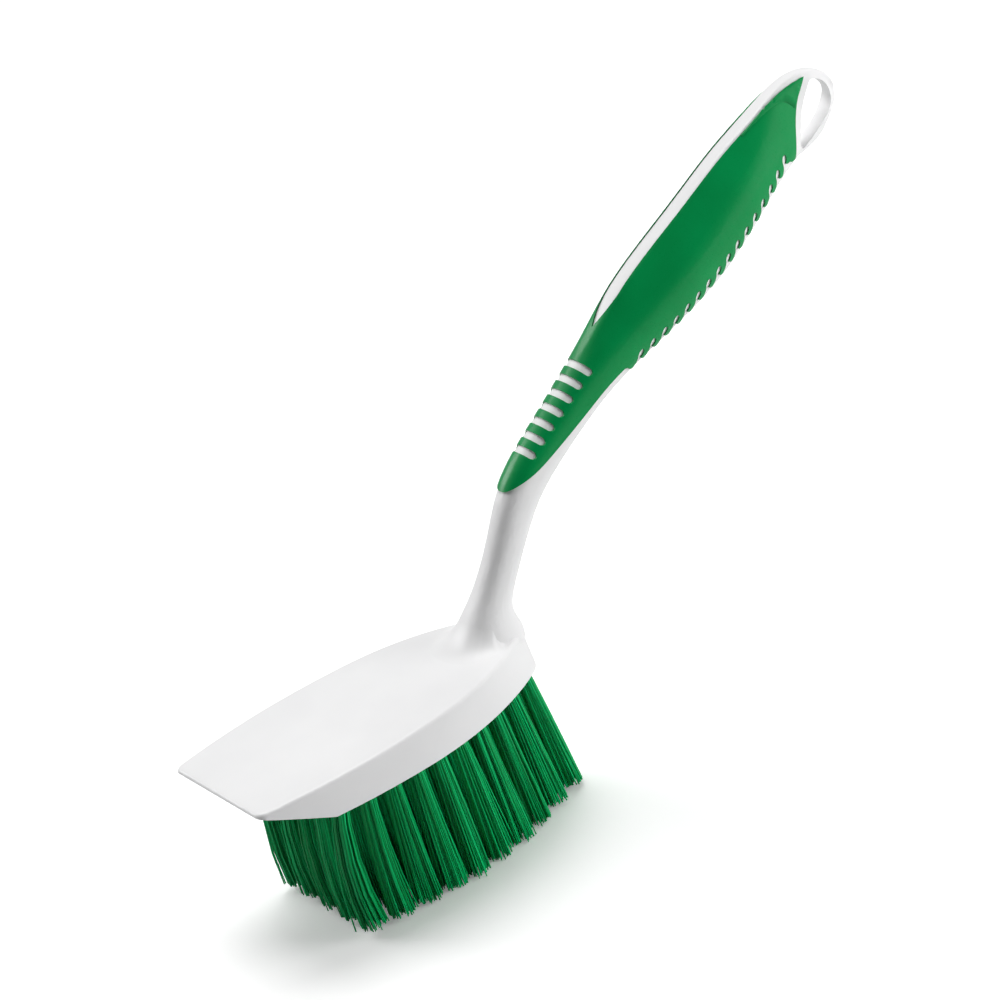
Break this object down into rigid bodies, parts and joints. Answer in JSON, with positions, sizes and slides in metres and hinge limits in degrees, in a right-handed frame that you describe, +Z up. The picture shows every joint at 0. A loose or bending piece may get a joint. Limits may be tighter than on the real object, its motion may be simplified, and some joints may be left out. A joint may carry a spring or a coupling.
{
  "type": "scrub brush",
  "caption": "Hand scrub brush: flared bristle block with a scraper lip, bent neck and bowed handle with an inlaid soft grip and a hanging loop.",
  "frame": {"origin": "middle of the scrubbing face, at the tip of the middle tuft, on the plane that the bristle tips share", "axes": "+X from the scraper lip towards the handle's end, +Y to the left of that, +Z up from the bristle tips to the block; the XZ plane is the plane of symmetry"},
  "size_m": [0.3079, 0.068, 0.2098],
  "materials": {
    "moulding": "satin white moulding",
    "soft_grip": "matte soft green",
    "bristle": "extruded green filament",
    "anchor_wire": "flat drawn wire"
  },
  "bodies": {
    "root": {"brush_body": "moulding", "grip": "soft_grip", "tuft_01": "bristle", "tuft_02": "bristle", "tuft_03": "bristle", "tuft_04": "bristle", "tuft_05": "bristle", "tuft_06": "bristle", "tuft_07": "bristle", "tuft_08": "bristle", "tuft_09": "bristle", "tuft_10": "bristle", "tuft_11": "bristle", "tuft_12": "bristle", "tuft_13": "bristle", "tuft_14": "bristle", "tuft_15": "bristle", "tuft_16": "bristle", "tuft_17": "bristle", "tuft_18": "bristle", "tuft_19": "bristle", "tuft_20": "bristle", "tuft_21": "bristle", "tuft_22": "bristle", "tuft_23": "bristle", "tuft_24": "bristle", "tuft_25": "bristle", "tuft_26": "bristle", "tuft_27": "bristle", "tuft_28": "bristle", "tuft_29": "bristle", "tuft_30": "bristle", "tuft_31": "bristle", "tuft_32": "bristle", "tuft_33": "bristle", "tuft_34": "bristle", "tuft_35": "bristle", "tuft_36": "bristle", "tuft_37": "bristle", "tuft_38": "bristle", "tuft_39": "bristle", "tuft_40": "bristle", "tuft_41": "bristle", "tuft_42": "bristle", "tuft_43": "bristle", "tuft_anchors": "anchor_wire"}
  },
  "joints": []
}
